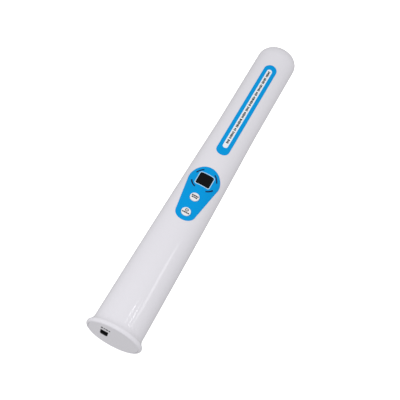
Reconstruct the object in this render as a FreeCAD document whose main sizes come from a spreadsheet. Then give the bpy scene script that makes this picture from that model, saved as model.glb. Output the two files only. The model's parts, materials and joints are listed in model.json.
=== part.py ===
import FreeCAD, Part
import math
import os
import re

import Sketcher

# A stick-shaped microchip scanner: one elliptical housing with a flared base, a label face with a
# keypad, a display and a long strip label, and the electronics on a tray that slides in from the base.
#
# Row frame: X across, Y along the stick with the tip at +Y, Z up out of the label face, and the
# origin on the surface the scanner lies on, half way along. The shapes are drawn in the axis frame,
# where "along" runs from the base face and "up" from the stick's own axis.

PARTS_FOLDER = "parts"
SHEET = "dims"
UPRIGHT = FreeCAD.Rotation()
ALONG = FreeCAD.Rotation(FreeCAD.Vector(1, 0, 0), -90)
FACING_BASE = FreeCAD.Rotation(FreeCAD.Vector(1, 0, 0), 90)

# Driving dimensions, in millimetres.
DIMENSIONS = {
    # housing
    "overall_length": 450.0,
    "section_ratio": 0.70,
    "wall": 2.5,
    "cavity_ratio": 0.668,
    "rim_half_width": 32.6,
    "rim_radius": 3.0,
    "rim_centre_along": 2.8,
    "flare_slope": 45.0,
    "neck_half_width": 28.35,
    "taper_end_half_width": 24.55,
    "taper_end_along": 285.0,
    "taper_radius": 20800.0,
    "waist_half_width": 24.14,
    "waist_along": 325.0,
    "waist_radius": 1951.0,
    "shoulder_radius": 21.5,
    "cap_radius": 28.0,
    "land_depth": 0.3,
    "land_cutter_height": 5.0,
    # films and the recesses that hold them
    "film_depth": 0.45,
    "film_seat_depth": 0.50,
    "lens_back_up": 15.90,
    "lens_seat_up": 15.85,
    "lens_crown_length": 40.0,
    "seat_gap": 0.15,
    "cutter_floor": 5.0,
    "cutter_height": 25.0,
    "panel_top_along": 232.3,
    "panel_head_radius": 18.8,
    "panel_corner_across": 18.78,
    "panel_corner_along": 212.6,
    "panel_foot_across": 11.87,
    "panel_foot_along": 164.1,
    "panel_foot_radius": 12.0,
    "strip_start": 255.3,
    "strip_end": 408.5,
    "strip_half_width": 8.0,
    "window_centre": 213.9,
    "window_half_width": 8.45,
    "window_half_length": 8.1,
    "window_corner": 2.0,
    "sight_half_width": 7.25,
    "sight_half_length": 6.9,
    "sight_corner": 0.8,
    # end plate and seal
    "rebate_half_width": 29.6,
    "rebate_depth": 3.05,
    "plate_half_width": 29.45,
    "plate_thickness": 3.0,
    "plate_chamfer": 0.3,
    "plate_trim": 1.0,
    "skirt_half_width": 25.5,
    "skirt_inner_half_width": 23.5,
    "skirt_end": 10.5,
    "seal_groove_half_width": 24.3,
    "seal_groove_start": 6.0,
    "seal_groove_end": 8.4,
    "seal_half_width": 25.08,
    "seal_section_radius": 0.72,
    # keys and switches
    "key_radius": 5.5,
    "key_hole_radius": 5.75,
    "key_crown": 0.95,
    "key_edge_height": 0.55,
    "key_crown_radius": 34.0,
    "key_edge_rounding": 0.3,
    "key_flange_radius": 6.7,
    "key_flange_top": 3.35,
    "key_flange_bottom": 4.2,
    "key_hollow_radius": 4.3,
    "key_hollow_top": 1.2,
    "key_stem_radius": 1.8,
    "upper_key_along": 187.2,
    "upper_key_surface": 18.43,
    "lower_key_along": 165.1,
    "lower_key_surface": 18.66,
    "switch_size": 6.2,
    "switch_height": 3.4,
    "switch_well_radius": 1.8,
    "switch_well_depth": 1.8,
    "plunger_radius": 1.6,
    "plunger_bottom": 10.2,
    "plunger_top": 12.65,
    # main board and what stands on it
    "board_half_width": 17.0,
    "board_start": 112.0,
    "board_end": 238.0,
    "board_thickness": 1.6,
    "board_top": 8.0,
    "board_hole_across": 11.4,
    "board_hole_inset": 5.0,
    "board_hole_radius": 1.3,
    "display_width": 22.0,
    "display_length": 19.0,
    "display_thickness": 1.9,
    "display_up": 10.85,
    "holder_width": 24.0,
    "holder_length": 21.0,
    "holder_height": 4.8,
    "holder_pocket_depth": 2.0,
    "gasket_width": 22.6,
    "gasket_length": 20.0,
    "gasket_up": 12.85,
    "gasket_thickness": 0.4,
    "gasket_opening_width": 18.4,
    "gasket_opening_length": 17.0,
    # tray
    "tray_start": 11.0,
    "tray_step": 31.0,
    "tray_end": 420.0,
    "tray_base_half_width": 17.0,
    "tray_half_width": 12.4,
    "tray_top": -9.6,
    "tray_thickness": 1.8,
    "tray_wall": 2.0,
    "boss_radius": 3.0,
    "boss_pilot_radius": 1.0,
    "boss_pilot_depth": 9.0,
    "runner_inner_across": 7.2,
    "runner_thickness": 1.6,
    "runner_base_up": -15.8,
    "runner_waist_up": -13.05,
    "cradle_wall_height": 6.5,
    "cradle_inner_across": 9.8,
    "stop_thickness": 1.6,
    # battery
    "battery_start": 34.5,
    "battery_length": 65.0,
    "battery_radius": 9.2,
    "battery_crimp_depth": 0.6,
    "battery_crimp_start": 60.0,
    "battery_crimp_end": 62.0,
    "strap_radius": 10.4,
    "strap_inner_radius": 9.35,
    "strap_width": 8.0,
    "strap_along": 63.0,
    "strap_foot_up": -3.0,
    # charging socket
    "socket_across": -10.56,
    "socket_start": 3.3,
    "socket_depth": 16.0,
    "socket_width": 12.0,
    "socket_height": 10.9,
    "socket_bottom": -5.5,
    "socket_sheet": 0.35,
    "insulator_width": 11.2,
    "insulator_height": 10.1,
    "insulator_depth": 15.0,
    "port_half_width": 4.5,
    "port_half_height": 5.4,
    "port_chamfer": 1.6,
    "bezel_half_width": 4.47,
    "bezel_half_height": 5.37,
    "bezel_start": 0.1,
    "bezel_end": 3.2,
    "plug_cavity_depth": 9.0,
    "plug_half_width": 4.23,
    "plug_half_height": 3.9,
    "plug_chamfer": 1.6,
    "tongue_width": 5.6,
    "tongue_height": 3.2,
    "tongue_length": 7.6,
    "usb_board_width": 28.0,
    "usb_board_across": -3.0,
    "usb_board_start": 5.5,
    "usb_board_length": 24.0,
    "usb_hole_along": 26.3,
    "usb_hole_left": -14.5,
    "usb_hole_right": 8.5,
    "usb_post_radius": 2.4,
    "usb_hole_radius": 1.1,
    "usb_pilot_radius": 0.8,
    "capacitor_across": 13.0,
    "capacitor_radius": 2.0,
    "capacitor_height": 4.2,
    "buzzer_across": -10.0,
    "buzzer_along": 127.0,
    "buzzer_radius": 4.8,
    "buzzer_height": 4.0,
    "buzzer_hole_radius": 1.0,
    # antenna
    "ferrite_radius": 5.0,
    "ferrite_start": 270.0,
    "ferrite_length": 136.0,
    "former_start": 300.0,
    "former_length": 76.0,
    "former_inner_radius": 5.15,
    "former_radius": 6.0,
    "former_flange_radius": 8.0,
    "former_flange": 1.6,
    "coil_radius": 7.5,
    "coil_gap": 0.05,
    "saddle_width": 18.0,
    "saddle_length": 6.0,
    "saddle_top": 3.0,
    "saddle_bore_radius": 5.1,
    "saddle_base_along": 284.0,
    "saddle_tip_along": 386.0,
    "cushion_radius": 10.0,
    "cushion_start": 421.0,
    "cushion_length": 18.0,
}

BOARD_TOP = DIMENSIONS["board_top"]
CHARGING_BOARD_TOP = DIMENSIONS["socket_bottom"]

# Box-shaped parts: middle across, start along, bottom, width, length and height.
BLOCKS = {
    "mcu_chip": (-7.0, 138.0, BOARD_TOP, 10.0, 10.0, 1.4),
    "rfid_chip": (-5.0, 225.0, BOARD_TOP, 7.0, 7.0, 1.2),
    "clock_crystal": (5.0, 150.0, BOARD_TOP, 5.0, 3.2, 1.2),
    "charge_inductor": (9.5, 121.5, BOARD_TOP, 7.0, 7.0, 3.2),
    "radio_module": (8.5, 130.5, BOARD_TOP, 12.0, 17.0, 0.8),
    "radio_shield": (8.5, 131.5, BOARD_TOP + 0.8, 10.0, 11.0, 1.8),
    "battery_socket": (0.0, 113.0, BOARD_TOP, 8.0, 6.0, 4.0),
    "battery_plug": (0.0, 107.5, BOARD_TOP + 0.4, 7.0, 5.5, 3.4),
    "antenna_socket": (0.0, 232.5, BOARD_TOP, 6.0, 5.5, 3.6),
    "antenna_plug": (0.0, 238.0, BOARD_TOP + 0.4, 5.2, 5.0, 3.0),
    "charging_chip": (5.0, 10.0, CHARGING_BOARD_TOP, 5.0, 5.0, 1.2),
    "battery_tape": (0.0, 42.0, -9.58, 7.0, 50.0, 0.36),
}
BLOCK_SIZES = ("across", "along", "up", "width", "length", "height")
for block_name, block_sizes in BLOCKS.items():
    for size_name, block_size in zip(BLOCK_SIZES, block_sizes):
        DIMENSIONS[f"{block_name}_{size_name}"] = block_size

CAPACITORS_ALONG = ("152", "158", "172")

# Wires inside the housing: radius and the hand-chosen points of each route (across, along, up).
LEADS = {
    "battery_lead_red": (0.7, [(-2.5, 100.1, 3.0), (-2.6, 103.4, 4.0), (-2.2, 104.6, 9.4),
                               (-1.8, 107.2, 10.1)]),
    "battery_lead_black": (0.7, [(3.0, 33.4, 4.0), (11.8, 33.6, 5.0), (11.8, 60.0, 5.0),
                                 (11.8, 90.0, 5.6), (4.5, 101.0, 9.4), (2.2, 104.5, 10.1),
                                 (1.8, 107.2, 10.1)]),
    "usb_harness": (1.1, [(3.0, 20.0, -4.3), (-4.0, 24.0, -2.0), (-12.4, 30.0, 4.5),
                          (-12.6, 45.0, 5.0), (-12.6, 72.0, 5.2), (-12.2, 98.0, 6.5),
                          (-6.5, 112.0, 9.4), (-6.5, 118.5, 9.4)]),
    "antenna_lead_left": (0.45, [(-1.4, 243.1, 9.9), (-1.4, 252.0, 9.9), (-1.8, 284.0, 6.9),
                                 (-1.8, 299.9, 6.9)]),
    "antenna_lead_right": (0.45, [(1.4, 243.1, 9.9), (1.4, 252.0, 9.9), (1.8, 284.0, 6.9),
                                  (1.8, 299.9, 6.9)]),
}


def add_tangent_points(sizes):
    """Adds the points where the rim, the flare and the tip's two arcs run into each other."""
    slope = math.radians(sizes["flare_slope"])
    rim_centre_across = sizes["rim_half_width"] - sizes["rim_radius"]
    start_across = rim_centre_across + sizes["rim_radius"] * math.cos(slope)
    start_along = sizes["rim_centre_along"] + sizes["rim_radius"] * math.sin(slope)
    flare_radius = (start_across - sizes["neck_half_width"]) / (1 - math.cos(slope))
    sizes["mouth_half_width"] = rim_centre_across + math.sqrt(
        sizes["rim_radius"] ** 2 - sizes["rim_centre_along"] ** 2)
    sizes["flare_start_across"] = start_across
    sizes["flare_start_along"] = start_along
    sizes["flare_radius"] = flare_radius
    sizes["neck_along"] = start_along + flare_radius * math.sin(slope)

    shoulder_across = sizes["waist_half_width"] - sizes["shoulder_radius"]
    cap_centre = sizes["overall_length"] - sizes["cap_radius"]
    between_centres = sizes["cap_radius"] - sizes["shoulder_radius"]
    sizes["dome_along"] = cap_centre + math.sqrt(between_centres ** 2 - shoulder_across ** 2)
    turn = math.atan2(shoulder_across, sizes["dome_along"] - cap_centre)
    sizes["cap_across"] = sizes["cap_radius"] * math.sin(turn)
    sizes["cap_along"] = cap_centre + sizes["cap_radius"] * math.cos(turn)
    sizes["inner_cap_across"] = (sizes["cap_radius"] - sizes["wall"]) * math.sin(turn)
    sizes["inner_cap_along"] = cap_centre + (sizes["cap_radius"] - sizes["wall"]) * math.cos(turn)


def add_lands(sizes):
    """Adds the plane that the scanner lies on. It trims a narrow flat under the rim and under the tip."""
    rim_up = sizes["rim_half_width"] * sizes["section_ratio"]
    tip_up = sizes["waist_half_width"] * sizes["section_ratio"]
    rise = (rim_up - tip_up) / (sizes["dome_along"] - sizes["rim_centre_along"])
    tilt = math.atan(rise)
    trimmed_radius = sizes["rim_radius"] - sizes["land_depth"] / sizes["section_ratio"]
    rim_land_half_length = math.sqrt(sizes["rim_radius"] ** 2 - trimmed_radius ** 2)
    up_at_base = sizes["land_depth"] - rim_up - sizes["rim_centre_along"] * rise
    sizes["land_tilt"] = math.degrees(tilt)
    sizes["land_cutter_along"] = sizes["land_cutter_height"] * math.sin(tilt)
    sizes["land_cutter_up"] = up_at_base - sizes["land_cutter_height"] * math.cos(tilt)
    sizes["axis_height"] = rim_up - sizes["land_depth"] + rim_land_half_length * rise


def add_lens_crown(sizes):
    """Adds the round surface that continues the housing's crown across the window."""
    before = sizes["window_centre"] - sizes["neck_along"]
    after = sizes["taper_end_along"] - sizes["window_centre"]
    slope = (sizes["taper_end_half_width"] - sizes["neck_half_width"]) / (before + after)
    bulge = before * after / (2 * sizes["taper_radius"])
    half_width = sizes["neck_half_width"] + slope * before + bulge
    slope += (after - before) / (2 * sizes["taper_radius"])
    tilt = math.atan(-slope * sizes["section_ratio"])
    sizes["lens_tilt"] = math.degrees(tilt)
    sizes["lens_crown_up"] = half_width * sizes["section_ratio"]
    sizes["lens_crown_radius"] = half_width / sizes["section_ratio"]
    sizes["lens_crown_lift"] = sizes["lens_crown_length"] / 2 * math.sin(tilt)


add_tangent_points(DIMENSIONS)
add_lands(DIMENSIONS)
add_lens_crown(DIMENSIONS)
doc = FreeCAD.newDocument("microchip_scanner")
sub_parts = []


def make_sheet():
    sheet = doc.addObject("Spreadsheet::Sheet", SHEET)
    for row, (name, size) in enumerate(DIMENSIONS.items(), start=1):
        sheet.set(f"A{row}", name)
        sheet.set(f"B{row}", f"{size:.6f}")
        sheet.setAlias(f"B{row}", name)
    doc.recompute()


def bound(formula):
    """Turns a formula of dimension names into an expression that reads the sheet."""
    return re.sub(r"[a-z]\w*", lambda name: f"{SHEET}.{name.group()}", formula)


def bind(item, prop, formula):
    item.setExpression(prop, bound(formula))


def value_of(formula):
    """Works out a sum of products of dimension names and numbers, such as 'wall / 2 - gap'."""
    total = 0.0
    for sign, term in re.findall(r"([+-]?)\s*([^+-]+)", formula):
        product = 1.0
        for operator, factor in re.findall(r"([*/]?)\s*([\w.]+)", term):
            number = DIMENSIONS[factor] if factor in DIMENSIONS else float(factor)
            product = product / number if operator == "/" else product * number
        total += -product if sign == "-" else product
    return total


def locate(item, across, along, up, rotation=UPRIGHT):
    """Puts a shape at a place in the axis frame."""
    item.Placement = FreeCAD.Placement(FreeCAD.Vector(), rotation)
    bind(item, "Placement.Base.x", across)
    bind(item, "Placement.Base.y", along)
    bind(item, "Placement.Base.z", up)
    return item


def sub_part(item, label, across="0", along="0", up="0", rotation=UPRIGHT):
    """Names a finished sub-part and moves it from the axis frame into the row frame."""
    item.Label = label
    locate(item, across, f"{along} - overall_length / 2", f"{up} + axis_height", rotation)
    sub_parts.append(item)
    return item


# Sketches and bodies ---------------------------------------------------------------------------

def new_sketch(body, name, plane="XY_Plane", height="0"):
    sketch = body.newObject("Sketcher::SketchObject", name)
    support = next(item for item in body.Origin.OriginFeatures if item.Role == plane)
    sketch.AttachmentSupport = [(support, "")]
    sketch.MapMode = "FlatFace"
    bind(sketch, "AttachmentOffset.Base.z", height)
    return sketch


def fix_point(sketch, edge, end, across, along):
    """Holds one end of an edge at a place that is read from the sheet."""
    for kind, formula, axis in (("DistanceX", across, -2), ("DistanceY", along, -1)):
        size = value_of(formula)
        if size == 0:
            sketch.addConstraint(Sketcher.Constraint("PointOnObject", edge, end, axis))
            continue
        index = sketch.addConstraint(Sketcher.Constraint(kind, -1, 1, edge, end, size))
        bind(sketch, f"Constraints[{index}]", formula)


def arc_between(start, end, radius, turn):
    """An arc of up to half a turn; turn is +1 where it runs anticlockwise and -1 where clockwise."""
    chord = end - start
    middle = (start + end) / 2
    rise = math.sqrt(max(radius ** 2 - chord.Length ** 2 / 4, 0.0))
    side = FreeCAD.Vector(-chord.y, chord.x, 0) / chord.Length
    centre = middle + side * rise * turn
    first, last = (start, end) if turn > 0 else (end, start)
    angles = [math.atan2(point.y - centre.y, point.x - centre.x) for point in (first, last)]
    circle = Part.Circle(centre, FreeCAD.Vector(0, 0, 1), radius)
    return Part.ArcOfCircle(circle, angles[0], angles[1])


def draw_outline(sketch, corners):
    """Draws a closed outline. A corner is (across, along), or (across, along, radius, turn)
    where an arc leads to it from the corner before."""
    places = [FreeCAD.Vector(value_of(c[0]), value_of(c[1]), 0) for c in corners]
    ends = []
    for number, corner in enumerate(corners):
        start, end = places[number - 1], places[number]
        if len(corner) == 2:
            edge = sketch.addGeometry(Part.LineSegment(start, end), False)
            ends.append((edge, 1, 2))
            continue
        radius, turn = corner[2], corner[3]
        edge = sketch.addGeometry(arc_between(start, end, value_of(radius), turn), False)
        ends.append((edge, 1, 2) if turn > 0 else (edge, 2, 1))
    for number, (edge, start, end) in enumerate(ends):
        following = ends[(number + 1) % len(ends)]
        sketch.addConstraint(
            Sketcher.Constraint("Coincident", edge, end, following[0], following[1]))
        fix_point(sketch, edge, end, corners[number][0], corners[number][1])
    for (edge, start, end), corner in zip(ends, corners):
        if len(corner) == 4:
            index = sketch.addConstraint(
                Sketcher.Constraint("Radius", edge, value_of(corner[2])))
            bind(sketch, f"Constraints[{index}]", corner[2])


def draw_circle(sketch, across, along, radius):
    centre = FreeCAD.Vector(value_of(across), value_of(along), 0)
    circle = Part.Circle(centre, FreeCAD.Vector(0, 0, 1), value_of(radius))
    edge = sketch.addGeometry(circle, False)
    fix_point(sketch, edge, 3, across, along)
    index = sketch.addConstraint(Sketcher.Constraint("Radius", edge, value_of(radius)))
    bind(sketch, f"Constraints[{index}]", radius)


def rectangle(left, right, start, end):
    return [(right, start), (right, end), (left, end), (left, start)]


def rounded_rectangle(half_width, start, end, corner):
    return [
        (half_width, f"{end} - {corner}"),
        (f"{half_width} - {corner}", end, corner, 1),
        (f"{corner} - {half_width}", end),
        (f"0 - {half_width}", f"{end} - {corner}", corner, 1),
        (f"0 - {half_width}", f"{start} + {corner}"),
        (f"{corner} - {half_width}", start, corner, 1),
        (f"{half_width} - {corner}", start),
        (half_width, f"{start} + {corner}", corner, 1),
    ]


def keyed_outline(half_width, half_height, chamfer):
    """A square plug opening with its two lower corners cut off."""
    return [
        (half_width, half_height),
        (f"0 - {half_width}", half_height),
        (f"0 - {half_width}", f"{chamfer} - {half_height}"),
        (f"{chamfer} - {half_width}", f"0 - {half_height}"),
        (f"{half_width} - {chamfer}", f"0 - {half_height}"),
        (half_width, f"{chamfer} - {half_height}"),
    ]


def new_body(name):
    return doc.addObject("PartDesign::Body", name)


def revolved(name, corners, plane="XY_Plane"):
    """A body turned about its own upright sketch axis."""
    body = new_body(name)
    sketch = new_sketch(body, f"{name}_outline", plane)
    draw_outline(sketch, corners)
    turned = body.newObject("PartDesign::Revolution", f"{name}_turned")
    turned.Profile = sketch
    turned.ReferenceAxis = (sketch, ["V_Axis"])
    turned.Angle = 360
    return body


def padded(body, name, height, thickness, outlines=(), circles=(), plane="XY_Plane"):
    """Pads a sketch of outlines and circles up from a height."""
    sketch = new_sketch(body, f"{name}_sketch", plane, height)
    for corners in outlines:
        draw_outline(sketch, corners)
    for across, along, radius in circles:
        draw_circle(sketch, across, along, radius)
    pad = body.newObject("PartDesign::Pad", f"{name}_pad")
    pad.Profile = sketch
    bind(pad, "Length", thickness)
    return pad


def pocketed(body, name, height, depth, outlines=(), circles=()):
    """Cuts a sketch of outlines and circles down from a height."""
    doc.recompute()
    before = body.Shape.Volume
    sketch = new_sketch(body, f"{name}_sketch", "XY_Plane", height)
    for corners in outlines:
        draw_outline(sketch, corners)
    for across, along, radius in circles:
        draw_circle(sketch, across, along, radius)
    pocket = body.newObject("PartDesign::Pocket", f"{name}_pocket")
    pocket.Profile = sketch
    bind(pocket, "Length", depth)
    doc.recompute()
    if body.Shape.Volume >= before:
        raise RuntimeError(f"{name} cuts nothing")
    return pocket


def prism(name, corners, floor="cutter_floor", height="cutter_height"):
    body = new_body(name)
    padded(body, name, floor, height, outlines=[corners])
    return body


# Primitives and booleans -----------------------------------------------------------------------

def block(name, across, along, up, width, length, height):
    """A box centred across, from a start along the stick and a bottom."""
    item = doc.addObject("Part::Box", name)
    bind(item, "Length", width)
    bind(item, "Width", length)
    bind(item, "Height", height)
    return locate(item, f"{across} - ({width}) / 2", along, up)


def block_part(label, across, along, up, width, length, height):
    """A box that is a sub-part of its own."""
    item = doc.addObject("Part::Box", f"{label}_box")
    bind(item, "Length", width)
    bind(item, "Width", length)
    bind(item, "Height", height)
    return sub_part(item, label, f"{across} - {width} / 2", along, up)


def rod(name, radius, length, across, along, up, rotation=UPRIGHT):
    item = doc.addObject("Part::Cylinder", name)
    bind(item, "Radius", radius)
    bind(item, "Height", length)
    return locate(item, across, along, up, rotation)


def flattened(name, body, ratio):
    """Squeezes a round body in its height, so that its section becomes an ellipse."""
    item = doc.addObject("Part::Scale", name)
    item.Base = body
    item.Uniform = False
    item.XScale = 1
    item.YScale = 1
    bind(item, "ZScale", ratio)
    return item


def cut(name, base, *tools):
    for number, tool in enumerate(tools):
        item = doc.addObject("Part::Cut", name if number == len(tools) - 1 else f"{name}_{number}")
        item.Base = base
        item.Tool = tool
        base = item
    return base


def common(name, base, tool):
    item = doc.addObject("Part::Common", name)
    item.Base = base
    item.Tool = tool
    item.Refine = False
    return item


def fused(name, items):
    item = doc.addObject("Part::MultiFuse", name)
    item.Shapes = items
    return item


def group(name, items):
    item = doc.addObject("Part::Compound", name)
    item.Links = items
    return item


# Housing, films and lens -----------------------------------------------------------------------

def taper_corners(inset):
    """The side of the stick from the flare's end to the dome, moved in by an inset."""
    return [
        (f"neck_half_width - {inset}", "neck_along"),
        (f"taper_end_half_width - {inset}", "taper_end_along", "taper_radius", 1),
        (f"waist_half_width - {inset}", "waist_along", "waist_radius", -1),
        (f"waist_half_width - {inset}", "dome_along"),
    ]


def skin(name, inset):
    """The stick's tapered length, moved in by an inset, as a solid."""
    corners = [("0", "neck_along")] + taper_corners(inset) + [("0", "dome_along")]
    return flattened(name, revolved(f"{name}_round", corners), "section_ratio")


def housing_outside():
    neck, *rest = taper_corners("0")
    corners = [
        ("0", "0"),
        ("mouth_half_width", "0"),
        ("flare_start_across", "flare_start_along", "rim_radius", 1),
        (neck[0], neck[1], "flare_radius", -1),
        *rest,
        ("cap_across", "cap_along", "shoulder_radius", 1),
        ("0", "overall_length", "cap_radius", 1),
    ]
    oval = flattened("outside_oval", revolved("outside_round", corners), "section_ratio")
    under_lands = doc.addObject("Part::Box", "under_lands")
    bind(under_lands, "Length", "rim_half_width * 2")
    bind(under_lands, "Width", "overall_length + 1")
    bind(under_lands, "Height", "land_cutter_height")
    tilt = FreeCAD.Rotation(FreeCAD.Vector(1, 0, 0), DIMENSIONS["land_tilt"])
    locate(under_lands, "0 - rim_half_width", "land_cutter_along", "land_cutter_up", tilt)
    return cut("outside", oval, under_lands)


def housing_cavity():
    corners = [
        ("0", "-1"),
        ("neck_half_width - wall", "-1"),
        *taper_corners("wall"),
        ("inner_cap_across", "inner_cap_along", "shoulder_radius - wall", 1),
        ("0", "overall_length - wall", "cap_radius - wall", 1),
    ]
    return flattened("cavity", revolved("cavity_round", corners), "cavity_ratio")


def panel_outline(gap):
    return [
        (f"panel_corner_across + {gap}", "panel_corner_along"),
        ("0", f"panel_top_along + {gap}", f"panel_head_radius + {gap}", 1),
        (f"0 - panel_corner_across - {gap}", "panel_corner_along", f"panel_head_radius + {gap}", 1),
        (f"0 - panel_foot_across - {gap}", "panel_foot_along"),
        (f"panel_foot_across + {gap}", "panel_foot_along", f"panel_foot_radius + {gap}", 1),
    ]


def strip_outline(gap):
    side = f"strip_half_width + {gap}"
    other_side = f"0 - strip_half_width - {gap}"
    return [
        (side, "strip_end - strip_half_width"),
        ("0", f"strip_end + {gap}", side, 1),
        (other_side, "strip_end - strip_half_width", side, 1),
        (other_side, "strip_start + strip_half_width"),
        ("0", f"strip_start - {gap}", side, 1),
        (side, "strip_start + strip_half_width", side, 1),
    ]


def window_outline(gap):
    corner = f"window_corner + {gap}"
    side = f"window_half_width + {gap}"
    other_side = f"0 - window_half_width - {gap}"
    start = f"window_centre - window_half_length - {gap}"
    end = f"window_centre + window_half_length + {gap}"
    straight_start = "window_centre - window_half_length + window_corner"
    straight_end = "window_centre + window_half_length - window_corner"
    return [
        (side, straight_end),
        ("window_half_width - window_corner", end, corner, 1),
        ("0", end),
        ("window_corner - window_half_width", end),
        (other_side, straight_end, corner, 1),
        (other_side, straight_start),
        ("window_corner - window_half_width", start, corner, 1),
        ("0", start),
        ("window_half_width - window_corner", start),
        (side, straight_start, corner, 1),
    ]


def key_places():
    return [("upper", "upper_key_along", "upper_key_surface"),
            ("lower", "lower_key_along", "lower_key_surface")]


def make_housing_and_films():
    outside = housing_outside()
    cavity = housing_cavity()
    film_floor = skin("film_floor", "film_depth")
    film_seat = skin("film_seat", "film_seat_depth")
    surface = skin("surface", "0")

    rebate = flattened("rebate", revolved("rebate_round", [
        ("0", "-1"), ("rebate_half_width", "-1"), ("rebate_half_width", "rebate_depth"),
        ("0", "rebate_depth")]), "section_ratio")
    panel_recess = cut("panel_recess", prism("panel_cutter", panel_outline("seat_gap")), film_seat)
    strip_recess = cut("strip_recess", prism("strip_cutter", strip_outline("seat_gap")), film_seat)
    lens_recess = prism("lens_recess", window_outline("seat_gap"), "lens_seat_up")
    sight_hole = prism("sight_hole", rounded_rectangle(
        "sight_half_width", "window_centre - sight_half_length",
        "window_centre + sight_half_length", "sight_corner"))
    key_holes = [rod(f"{name}_key_hole", "key_hole_radius", "cutter_height", "0", along,
                     "cutter_floor") for name, along, surface_up in key_places()]
    housing = cut("housing", outside, cavity, rebate, panel_recess, strip_recess, lens_recess,
                  sight_hole, *key_holes)
    sub_part(housing, "housing_tube")

    panel_blank = common("panel_blank", prism("panel_prism", panel_outline("0")), surface)
    window_gap = prism("window_gap", window_outline("seat_gap"))
    overlay = cut("overlay", panel_blank, film_floor, window_gap, *key_holes)
    sub_part(overlay, "keypad_overlay")

    strip_blank = common("strip_blank", prism("strip_prism", strip_outline("0")), surface)
    sub_part(cut("strip", strip_blank, film_floor), "label_strip")

    lens_prism = prism("lens_prism", window_outline("0"), "lens_back_up")
    tilt = FreeCAD.Rotation(FreeCAD.Vector(1, 0, 0), -90 - DIMENSIONS["lens_tilt"])
    lens_crown = rod("lens_crown", "lens_crown_radius", "lens_crown_length", "0",
                     "window_centre - lens_crown_length / 2",
                     "lens_crown_up - lens_crown_radius + lens_crown_lift", tilt)
    sub_part(common("lens", lens_prism, lens_crown), "display_window")


# Base ------------------------------------------------------------------------------------------

def make_end_plate():
    thick_disc = flattened("plate_disc", revolved("plate_disc_round", [
        ("0", "0 - plate_trim"), ("plate_half_width - plate_chamfer - plate_trim", "0 - plate_trim"),
        ("plate_half_width", "plate_chamfer"), ("plate_half_width", "plate_thickness"),
        ("0", "plate_thickness")]), "section_ratio")
    trimming = block("trimming", "0", "0 - plate_trim * 2", "0 - plate_half_width",
                     "plate_half_width * 2", "plate_trim * 2", "plate_half_width * 2")
    disc = cut("flat_disc", thick_disc, trimming)
    skirt = flattened("plate_skirt", revolved("plate_skirt_round", [
        ("skirt_inner_half_width", "plate_thickness - 0.5"),
        ("skirt_half_width", "plate_thickness - 0.5"),
        ("skirt_half_width", "seal_groove_start"),
        ("seal_groove_half_width", "seal_groove_start"),
        ("seal_groove_half_width", "seal_groove_end"),
        ("skirt_half_width", "seal_groove_end"),
        ("skirt_half_width", "skirt_end"),
        ("skirt_inner_half_width", "skirt_end")]), "cavity_ratio")
    port = prism("port", keyed_outline("port_half_width", "port_half_height", "port_chamfer"),
                 "0 - plate_thickness * 2", "plate_thickness * 4")
    locate(port, "socket_across", "0", "0", FACING_BASE)
    plate = cut("plate", fused("plate_and_skirt", [disc, skirt]), port)
    sub_part(plate, "end_plate")

    body = new_body("seal_round")
    sketch = new_sketch(body, "seal_section")
    draw_circle(sketch, "seal_half_width", "seal_groove_start / 2 + seal_groove_end / 2",
                "seal_section_radius")
    ring = body.newObject("PartDesign::Revolution", "seal_ring")
    ring.Profile = sketch
    ring.ReferenceAxis = (sketch, ["V_Axis"])
    ring.Angle = 360
    sub_part(flattened("seal", body, "cavity_ratio"), "end_seal")


def make_charging_socket():
    shell_outer = block("shell_outer", "socket_across", "socket_start", "socket_bottom",
                        "socket_width", "socket_depth", "socket_height")
    shell_inner = block("shell_inner", "socket_across", "socket_start - 1",
                        "socket_bottom + socket_sheet", "socket_width - socket_sheet * 2",
                        "socket_depth + 1 - socket_sheet", "socket_height - socket_sheet * 2")
    sub_part(cut("shell", shell_outer, shell_inner), "socket_shell")

    insulator = new_body("insulator")
    half_width = "insulator_width / 2"
    half_height = "insulator_height / 2"
    padded(insulator, "insulator_block", "0 - insulator_depth", "insulator_depth",
           outlines=[rectangle(f"0 - {half_width}", half_width, f"0 - {half_height}", half_height)])
    pocketed(insulator, "plug_cavity", "0", "plug_cavity_depth",
             outlines=[keyed_outline("plug_half_width", "plug_half_height", "plug_chamfer")])
    padded(insulator, "tongue", "0 - plug_cavity_depth", "tongue_length",
           outlines=[rectangle("0 - tongue_width / 2", "tongue_width / 2",
                               "0 - tongue_height / 2", "tongue_height / 2")])
    socket_middle = "socket_bottom + socket_height / 2"
    sub_part(insulator, "socket_insulator", "socket_across", "socket_start + socket_sheet",
             socket_middle, FACING_BASE)

    bezel_outside = prism("bezel_outside", keyed_outline(
        "bezel_half_width", "bezel_half_height", "port_chamfer"),
        "0 - bezel_end", "bezel_end - bezel_start")
    bezel_mouth = prism("bezel_mouth", keyed_outline(
        "plug_half_width", "plug_half_height", "plug_chamfer"), "0 - bezel_end * 2", "bezel_end * 2")
    sub_part(cut("bezel", bezel_outside, bezel_mouth), "socket_bezel", "socket_across", "0", "0",
             FACING_BASE)

    contacts = []
    for number, (side, shift) in enumerate(((1, 1.2), (1, -1.2), (-1, 1.2), (-1, -1.2))):
        up = 1.61 if side > 0 else -1.81
        contacts.append(block(f"contact_{number}", f"socket_across {shift:+}",
                              "socket_start + 3", f"{socket_middle} {up:+}", "1", "5.5", "0.2"))
    sub_part(group("contacts", contacts), "socket_contacts")

    usb_board = new_body("charge_board")
    left = "usb_board_across - usb_board_width / 2"
    right = "usb_board_across + usb_board_width / 2"
    padded(usb_board, "charge_board_plate", "socket_bottom - board_thickness",
           "board_thickness - 0.02",
           outlines=[rectangle(left, right, "usb_board_start", "usb_board_start + usb_board_length")],
           circles=[(x, "usb_hole_along", "usb_hole_radius")
                    for x in ("usb_hole_left", "usb_hole_right")])
    sub_part(usb_board, "charging_board")


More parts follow.
